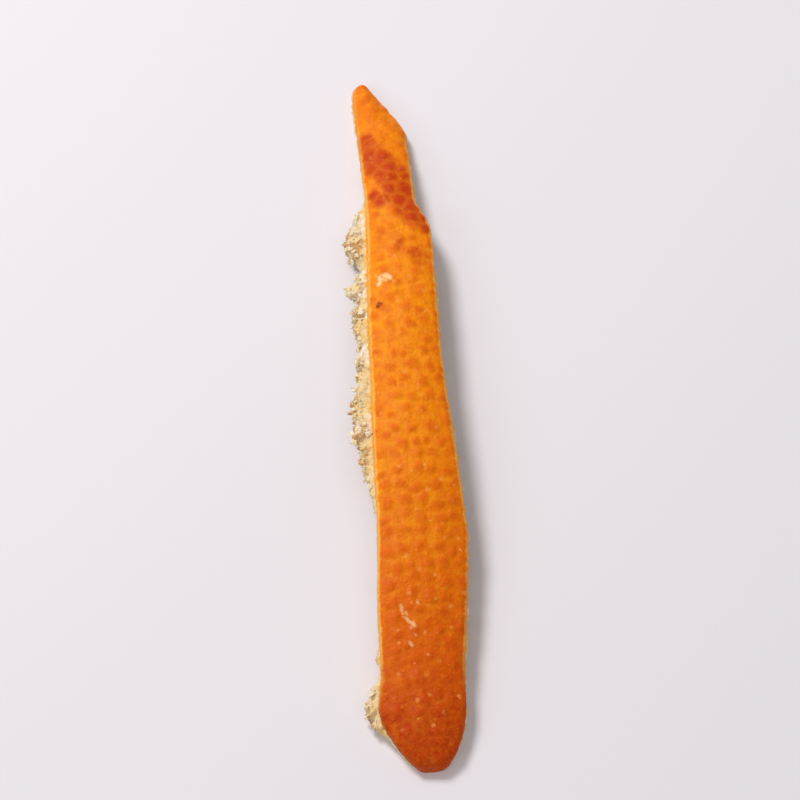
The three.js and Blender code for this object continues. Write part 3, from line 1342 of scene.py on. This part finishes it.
    def skin_marks(
        self, sheet: NodeSheet, lay: Socket, along: Socket, marks: dict[Mark, Socket], colour: Socket
    ) -> Socket:
        """Lays the finest marks over the skin: painted highlight dots, pale rim, grit, scar, pale flecks and
        specks.

        Args:
            sheet: The tree that the nodes go into.
            lay: The skin's flat coordinates.
            along: The share of the way from the tip to the round end.
            marks: The point attributes.
            colour: The skin's colour so far.

        Returns:
            The colour.
        """
        # Painted highlights: small pale dots, stronger towards the round end, stand in for glints of light
        # on the skin
        glint_cells = sheet.cells(sheet.sway(lay, 0.3, 0.35), 1.15, flat=True)
        chosen, large, _ = sheet.parts(glint_cells.outputs["Color"])
        painted_glint = sheet.rise(glint_cells.outputs["Distance"], 0.03, sheet.rise(large, 0.0, 1.0, 0.12, 0.28), 1.0, 0.0)
        bare = sheet.rise(along, 0.2, 0.6, 0.6, 1.0)
        painted_glint = sheet.times(painted_glint, sheet.rise(chosen, 0.55, 1.0, 0.0, 0.55), bare)
        colour = sheet.blend(painted_glint, colour, self.gleam)

        frayed = sheet.centred(sheet.noise(lay, 0.5, 3.0), 0.3)
        begun = sheet.rise(along, 0.06, 0.18, 0.35, 1.0)
        open_side = sheet.rise(along, 0.84, 0.93, 1.0, 0.0)
        colour = sheet.tint(colour, self.rim, sheet.plus(marks[Mark.RIM], frayed), begun, open_side)

        grit = sheet.noise(lay, 0.17, 2.0, 0.6)
        colour = sheet.tints(colour, grit, self.grit_high, self.grit_low)
        flaked = sheet.rise(sheet.noise(lay, 0.2), 0.36, 0.46)
        for mark, shade in ((Mark.SCAR, self.scar), (Mark.SPECK, self.speck)):
            colour = sheet.blend(sheet.times(marks[mark], flaked, 0.9), colour, shade)
        return colour

    def pith_colour(self, sheet: NodeSheet, place: Socket, marks: dict[Mark, Socket]) -> Socket:
        """Colours the pith, with painted shade in its cracks, pits and hollows.

        Args:
            sheet: The tree that the nodes go into.
            place: Coordinates in the strip, in millimetres.
            marks: The point attributes.

        Returns:
            The colour.
        """
        patch = sheet.noise(place, 2.1, 3.0, 0.6)
        light = sheet.plus(sheet.times(patch, 0.5), sheet.times(marks[Mark.CHUNK], 0.5))
        colour = sheet.tints(self.cream, light, self.pith_high, self.pith_low)
        fleck = sheet.noise(place, 0.2, 3.0, 0.65)
        colour = sheet.tints(colour, fleck, self.fleck_high, self.fleck_low)
        # Painted shade: tan, then brown, down into the pith's cracks, pits and hollows
        return sheet.tints(colour, marks[Mark.CREVICE], self.painted_shade_tan, self.painted_shade_brown)


@dataclass
class SoftLamp:
    """A wide, soft lamp that points at the strip."""

    name: str
    azimuth: float
    elevation: float
    distance: float
    size: float
    power: float

    def hang(self, target: Vector) -> None:
        """Hangs the lamp.

        Args:
            target: What it points at.
        """
        data = bpy.data.lights.new(self.name, "AREA")
        data.shape = "DISK"
        data.size = self.size
        data.energy = self.power
        aimed(data, target, self.azimuth, self.elevation, self.distance)


@dataclass
class Studio:
    """The table, the lamps and the camera."""

    azimuth: float = -4.2
    elevation: float = 62.0
    lens: float = 150.0
    view_width: float = 69 * MM
    table: float = 4.0
    table_colour: Colour = tone(233, 228, 233)
    room_colour: Colour = (1.0, 0.985, 0.97, 1.0)
    room_light: float = 0.36
    lamps: tuple[SoftLamp, ...] = (
        SoftLamp("key", azimuth=-145, elevation=50, distance=0.50, size=0.16, power=1.7),
        SoftLamp("fill", azimuth=-60, elevation=40, distance=0.60, size=0.40, power=0.5),
        SoftLamp("front", azimuth=30, elevation=60, distance=0.60, size=0.40, power=0.25),
    )

    def camera(self, target: Vector) -> None:
        """Places the camera.

        Args:
            target: What it looks at.
        """
        data = bpy.data.cameras.new("camera")
        data.lens = self.lens
        data.clip_start = 0.005
        data.clip_end = 10.0
        distance = self.view_width * self.lens / data.sensor_width
        bpy.context.scene.camera = aimed(data, target, self.azimuth, self.elevation, distance)

    def floor(self, height: float) -> None:
        """Lays the table top.

        Args:
            height: The height that the strip lies on.
        """
        half = self.table / 2
        mesh = bpy.data.meshes.new("table_top")
        corners = [(x * half, y * half, height) for x, y in ((-1, -1), (1, -1), (1, 1), (-1, 1))]
        mesh.from_pydata(corners, [], [(0, 1, 2, 3)])
        settings = {"Base Color": self.table_colour, "Roughness": 0.6, "Specular IOR Level": 0.2}
        mesh.materials.append(new_finish("pale_table", settings)[0])
        linked("table_top", mesh)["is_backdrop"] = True

    def light(self, target: Vector) -> None:
        """Lights the table softly from all round.

        Args:
            target: What the lamps point at.
        """
        for lamp in self.lamps:
            lamp.hang(target)
        world = bpy.data.worlds.new("room")
        world.use_nodes = True
        background = world.node_tree.nodes["Background"]
        background.inputs["Color"].default_value = self.room_colour
        background.inputs["Strength"].default_value = self.room_light
        bpy.context.scene.world = world
        bpy.context.scene.view_settings.view_transform = "Standard"


def main() -> None:
    """Builds the strip and its studio, in order."""
    logging.basicConfig(level=logging.INFO, format="%(name)s: %(message)s")
    cad_low, cad_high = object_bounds()
    middle = (cad_low + cad_high) / 2
    studio = Studio()
    studio.camera(middle)
    studio.floor(cad_low.z)
    studio.light(middle)

    form = StripForm(length=(cad_high.y - cad_low.y) / MM)
    finish = PeelFinish(length=form.length)
    strip = PeelStrip(form).build(finish.peel())
    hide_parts(NODE)
    dry = finish.crumbs()
    sorts = (
        PithCrumbs("pith_crumbs", size=0.52, spread=1.1, seed=3, sink=0.24),
        PithCrumbs("pith_grains", size=0.26, spread=5.6, seed=8, sink=0.20, clear=0.25),
    )
    for piece in [strip, *(crumbs.build(strip, dry) for crumbs in sorts)]:
        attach(piece, "root")
        log.info("%s: %d faces", piece.name, len(piece.data.polygons))


if __name__ == "__main__":
    main()
